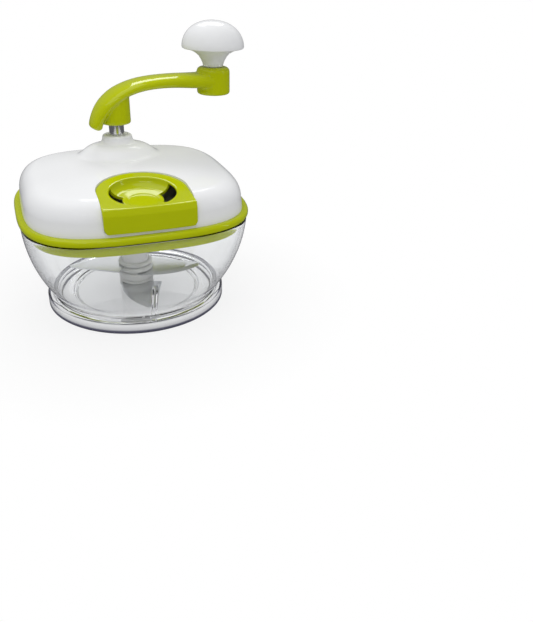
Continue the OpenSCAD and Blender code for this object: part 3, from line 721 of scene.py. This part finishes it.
mesh.from_pydata(points, [], faces)
insert = link("green_insert", mesh)
thick = insert.modifiers.new("thickness", "SOLIDIFY")
thick.thickness, thick.offset = INSERT_T, -1
soft = insert.modifiers.new("soft_edges", "BEVEL")
soft.width, soft.segments = 0.5 * MM, 2
soft.limit_method, soft.angle_limit = "ANGLE", math.radians(55)
insert = baked(insert, 40)
hand_over(insert, "insert", "lime", "port_insert")

# %% [markdown]
# ## Crank arm
# The arm is one moulding: a wide strap that curls down past the hub at one end and runs
# into a round boss at the other. Strap, hub and boss are made apart, melted together by a
# voxel remesh and smoothed, which leaves the soft fillets that a mould has.

# %% Draw the strap
HUB_R, HUB_H, BOSS_R, BOSS_H = 12 * MM, 23 * MM, 14 * MM, 22 * MM
ARM_W, ARM_END_W, ARM_T, ARM_END_T = 28 * MM, 26 * MM, 8.9 * MM, 12.7 * MM
ARM_POWER, TAIL_TAPER, TAIL_REACH, TAIL_END = 2.4, 0.35, 17 * MM, 2.6 * MM
boss_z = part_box("knob_post")[0].z
# Length, hub and end of the arm in millimetres
L, H, E = crank_length / MM, HUB_H / MM, (boss_z + BOSS_H / 2 - hub_z) / MM
# Run and rise in millimetres, and the share of the end's thickness
knots = np.array([(-17.1, -1, 0), (-16.4, 1.6, 0), (-14.8, 5.4, 0), (-12, 10, 0),
                  (-8.3, 14.4, 0), (-3.4, H - 4.5, 0), (2.3, H - 0.8, 0), (9, H + 2.1, 0.02),
                  (17, H + 4.4, 0.08), (26, H + 5.9, 0.15), (38, H + 6.7, 0.25),
                  (52, E + 2.1, 0.45), (L - 22, E + 1.3, 0.75), (L - 4, E + 0.6, 1)])
turn = Matrix.Translation((crank_axis.x, crank_axis.y, 0)) @ Matrix.Rotation(crank_rest, 4, "Z")


def smooth_path(knots, count):
    """Even points on a curve through the knots."""
    out = []
    padded = np.vstack([2 * knots[0] - knots[1], knots, 2 * knots[-1] - knots[-2]])
    for i in range(1, len(padded) - 2):
        p0, p1, p2, p3 = padded[i - 1:i + 3]
        for t in np.linspace(0, 1, count, endpoint=False):
            out.append(0.5 * (2 * p1 + (p2 - p0) * t + (2 * p0 - 5 * p1 + 4 * p2 - p3) * t ** 2
                              + (3 * p1 - p0 - 3 * p2 + p3) * t ** 3))
    return np.array(out + [knots[-1]])


line = smooth_path(knots, 5)
heading = np.gradient(line[:, :2], axis=0)
heading /= np.linalg.norm(heading, axis=1)[:, None]
angles = np.linspace(0, 2 * np.pi, 48, endpoint=False)


def strap_ring(spot, d, share, size=1.0):
    narrowed = 1 - TAIL_TAPER * min(1, max(0, -spot[0] / TAIL_REACH)) ** 2
    wide = narrowed * (ARM_W + (ARM_END_W - ARM_W) * max(0, spot[0] / crank_length)) / 2
    wide -= (1 - size) * ARM_T / 2
    tall = size * (ARM_T + (ARM_END_T - ARM_T) * share) / 2
    c, s = np.cos(angles), np.sin(angles)
    r = (np.abs(c / wide) ** ARM_POWER + np.abs(s / tall) ** ARM_POWER) ** (-1 / ARM_POWER)
    return np.stack([spot[0] - d[1] * r * s, r * c, hub_z + spot[1] + d[0] * r * s], 1)


tail = [strap_ring(line[0, :2] * MM - heading[0] * TAIL_END * math.sin(f), heading[0], 0,
                   math.cos(f)) for f in np.radians([78, 55, 30])]
rings = tail + [strap_ring(p[:2] * MM, d, p[2]) for p, d in zip(line, heading)]
strap = skin("green_arm", [[rings[0].mean(0)]] + rings + [[rings[-1].mean(0)]])
print("strap rings", len(rings))

# %% Melt the arm together
fan = np.linspace(0, 2 * np.pi, 96, endpoint=False)


def drum(name, x, profile, top=None):
    rings = [np.stack([x + r * np.cos(fan), r * np.sin(fan), np.full(len(fan), z)], 1)
             for r, z in profile]
    if top is not None:
        flat = rings[-1][:, :2]
        rings.append(np.column_stack([flat, hub_z + np.interp(flat[:, 0], line[:, 0] * MM, top)]))
    return skin(name, [[rings[0].mean(0)]] + rings + [[rings[-1].mean(0)]])


hub_line = [(HUB_R - 0.9 * MM, hub_z), (HUB_R - 0.2 * MM, hub_z + 0.3 * MM),
            (HUB_R, hub_z + 1 * MM)]
hub = drum("hub_part", 0, hub_line, line[:, 1] * MM)
LOW_EASE, TOP_EASE = 2 * MM, 3.6 * MM
quarter = np.radians(np.linspace(0, 90, 6))
boss_line = [(BOSS_R - LOW_EASE * (1 - math.sin(f)), boss_z + LOW_EASE * (1 - math.cos(f)))
             for f in quarter]
boss_line += [(BOSS_R - TOP_EASE * (1 - math.cos(f)),
               boss_z + BOSS_H - TOP_EASE * (1 - math.sin(f))) for f in quarter]
boss = drum("boss_part", crank_length, boss_line)
for other in (hub, boss):
    join = strap.modifiers.new("join", "BOOLEAN")
    join.object, join.operation, join.solver = other, "UNION", "EXACT"
melt = strap.modifiers.new("melt", "REMESH")
melt.mode, melt.voxel_size, melt.use_smooth_shade = "VOXEL", 0.65 * MM, True
ease = strap.modifiers.new("ease", "SMOOTH")
ease.factor, ease.iterations = 0.5, 9
arm = baked(strap, 60)
for other in (hub, boss):
    bpy.data.objects.remove(other)
arm.data.transform(turn)
hand_over(arm, "crank", "lime", "crank_arm")

# %% [markdown]
# ## Knob
# A white dome over a milky neck that opens like a trumpet. Both are turned shapes, so a
# profile is spun round the knob's axis. The dome keeps the little round mark that its
# mould leaves at the top.

# %% Turn the knob
dome_low, dome_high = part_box("knob_dome")
neck_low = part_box("knob_neck")[0]
KNOB_R, DOME_H, DOME_POWER = (dome_high.x - dome_low.x) / 2, dome_high.z - dome_low.z, 0.93
DOME_WALL, LIP_H, LIP_STEP = 2.4 * MM, 1.3 * MM, 0.8 * MM


def turned(name, profile, centre):
    rings = []
    for r, z in profile:
        if r == 0:
            rings.append([(centre.x, centre.y, z)])
        else:
            rings.append([(centre.x + r * math.cos(t), centre.y + r * math.sin(t), z) for t in fan])
    return skin(name, rings)


base_z = dome_low.z
profile = [(KNOB_R - DOME_WALL, base_z + LIP_STEP), (KNOB_R - 1.8 * MM, base_z),
           (KNOB_R - 0.9 * MM, base_z), (KNOB_R - 0.25 * MM, base_z + 0.4 * MM),
           (KNOB_R, base_z + LIP_H)]
for f in np.radians(np.linspace(6, 82, 24)):
    profile.append((KNOB_R * math.cos(f) ** DOME_POWER,
                    base_z + LIP_H + (DOME_H - LIP_H) * math.sin(f)))
mark = base_z + DOME_H
mark_line = [(2.9, -0.12), (2.7, -0.28), (2.5, -0.28), (2.3, -0.1), (0, -0.02)]
profile += [(r * MM, mark + z * MM) for r, z in mark_line]
under = [(0, mark - DOME_WALL)]
for f in np.radians(np.linspace(84, 4, 16)):
    under.append(((KNOB_R - DOME_WALL) * math.cos(f),
                  base_z + LIP_STEP + (DOME_H - DOME_WALL - LIP_STEP) * math.sin(f)))
dome = turned("white_dome", under + profile, knob_axis)
hand_over(dome, "knob", "white", "knob_dome")
neck_h = base_z - neck_low.z
# Radius in millimetres, and height as a share of the neck's
flare = [(3.1, 0), (8, 0), (8.35, 0.02), (8.45, 0.06), (9.1, 0.21), (10.2, 0.38), (12, 0.58),
         (14.2, 0.72), (16.8, 0.83), (19.6, 0.91), (22.2, 0.965), (22.6, 0.98), (22.5, 1),
         (7.4, 1), (7.4, 1.13), (3.1, 1.13), (3.1, 0)]
neck = turned("milky_neck", [(r * MM, neck_low.z + neck_h * z) for r, z in flare], knob_axis)
hand_over(neck, "knob", "frost", "knob_neck")

# %% [markdown]
# ## Blades
# Each blade is a sickle of rolled sheet. Its rounded edge is ground from one side, so a
# row of five points runs from root to tip: the thin edge, the end of the bevel and the
# square back.

# %% Grind the blades
BLADE_T, BLADE_W, REACH, SWEEP = 1.2 * MM, 22 * MM, 53 * MM, 12 * MM
BEVEL, EDGE_T, ROOT_X, TIP_X = 6.5 * MM, 0.18 * MM, 6 * MM, 50.2 * MM
blade_arc = REACH * 1.1


def ground_blade(name, angle):
    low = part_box(name)[0].z
    rows = []
    for share in np.linspace(0, 1, 40):
        x = ROOT_X + (TIP_X - ROOT_X) * share
        back_x = min(x, math.sqrt(REACH ** 2 - BLADE_W ** 2))
        edge_y = blade_arc - SWEEP - math.sqrt(blade_arc ** 2 - x ** 2)
        bevel_y = edge_y + min(BEVEL, 0.7 * (BLADE_W - edge_y))
        rows.append([(x, edge_y, low), (x, edge_y, low + EDGE_T), (x, bevel_y, low + BLADE_T),
                     (back_x, BLADE_W, low + BLADE_T), (back_x, BLADE_W, low)])
    ends = [[np.mean(rows[0], 0)]], [[np.mean(rows[-1], 0)]]
    piece = skin("ground_" + name, ends[0] + rows + ends[1], sharp=12)
    piece.data.transform(Matrix.Rotation(math.radians(angle), 4, "Z"))
    hand_over(piece, "rotor", "blade", name)


for name, angle in (("lower_blade", 250), ("middle_blade", 328), ("upper_blade", 149)):
    ground_blade(name, angle)

# %% [markdown]
# ## Floor and light
# A plain white sweep. The floor is mostly its own white to the eye and to glass, with a
# share of real shading left so that the soft shadow stays, and a larger share under the
# bowl. Mirrored light finds it darker, which keeps the green deep. Lamps stay moderate, so
# that white plastic shows its form.

# %% Lay the floor
FLOOR_HALF = 6.0
FLOOR_TINT, MIRRORED_TINT = (0.62, 0.62, 0.625, 1), (0.12, 0.12, 0.125, 1)
# Share of its own white at the middle, and its growth per metre
UNDER_BOWL, ROUND_BOWL = (0.45, 5.3), (0.74, 1.4)


def seen_through(tree):
    """One where the eye looks, straight or through glass, and nought for mirrored light."""
    rays = tree.node("ShaderNodeLightPath")
    looked_at = rays.at("Is Camera Ray") + rays.at("Is Transmission Ray")
    return tree.node("ShaderNodeClamp", None, {"Value": looked_at})


floor_finish = Finish("studio_floor")
mirrored = floor_finish.node("ShaderNodeLightPath").at("Is Glossy Ray")
ground = floor_finish.mix(mirrored, FLOOR_TINT, MIRRORED_TINT)
shade = floor_finish.node("ShaderNodeBsdfDiffuse", None, {"Color": ground})
glow = floor_finish.node("ShaderNodeEmission", None, {"Color": (1, 1, 1, 1), "Strength": 1.0})
from_middle = floor_finish.node("ShaderNodeVectorMath", {"operation": "LENGTH"},
                                {0: floor_finish.place}).at("Value")
inner, outer = (start + growth * from_middle for start, growth in (UNDER_BOWL, ROUND_BOWL))
dimmer = floor_finish.node("ShaderNodeMath", {"operation": "MINIMUM"}, {0: inner, 1: outer})
own_white = floor_finish.node("ShaderNodeClamp", None, {"Value": dimmer})
floor_look = floor_finish.node("ShaderNodeMixShader", None, {
    0: seen_through(floor_finish) * own_white, 1: shade, 2: glow})
floor_finish.surface(floor_look)
floor_mesh = bpy.data.meshes.new("studio_floor")
corners = [(x * FLOOR_HALF, y * FLOOR_HALF, 0) for x, y in ((-1, -1), (1, -1), (1, 1), (-1, 1))]
floor_mesh.from_pydata(corners, [], [(0, 1, 2, 3)])
floor_mesh.materials.append(floor_finish.material)
floor = bpy.data.objects.new("studio_floor", floor_mesh)
bpy.context.scene.collection.objects.link(floor)
print("floor", 2 * FLOOR_HALF, "m wide")

# %% Light the air
AIR_TINT, AIR_LEVEL, MIRRORED_LOSS = (0.97, 0.985, 1, 1), 0.56, 0.34
world = bpy.data.worlds.new("studio")
world.use_nodes = True
bpy.context.scene.world = world
air = Tree(world.node_tree)
world.node_tree.nodes.clear()
mirrored = air.node("ShaderNodeLightPath").at("Is Glossy Ray")
dim = air.node("ShaderNodeBackground", None,
               {"Color": AIR_TINT, "Strength": AIR_LEVEL - MIRRORED_LOSS * mirrored})
bright = air.node("ShaderNodeBackground", None, {"Color": (1, 1, 1, 1), "Strength": 1.0})
sky = air.node("ShaderNodeMixShader", None, {0: seen_through(air), 1: dim, 2: bright})
air.node("ShaderNodeOutputWorld", None, {"Surface": sky})
print("air with", len(world.node_tree.nodes), "nodes")

# %% Hang the softboxes


def softbox(name, spot, aim_z, size, power):
    lamp = bpy.data.lights.new(name, "AREA")
    lamp.shape, lamp.size, lamp.size_y, lamp.energy = "RECTANGLE", size[0], size[1], power
    box = bpy.data.objects.new(name, lamp)
    box.location = spot
    aim = Vector((0, 0, aim_z)) - Vector(spot)
    box.rotation_euler = aim.to_track_quat("-Z", "Y").to_euler()
    bpy.context.scene.collection.objects.link(box)


softbox("key_light", (-0.3, -0.1, 1.25), aim_z=0.1, size=(1.5, 1.2), power=7.2)
softbox("rear_light", (0.25, 0.76, 0.96), aim_z=0.12, size=(0.6, 0.4), power=4.2)
softbox("fill_light", (0.95, -0.5, 0.45), aim_z=0.1, size=(0.12, 0.8), power=0.9)
softbox("strip_light", (-0.3, -0.8, 0.8), aim_z=0.1, size=(0.7, 0.07), power=1.2)
bpy.context.scene.view_settings.view_transform = "Standard"
print("softboxes", len(bpy.data.lights))
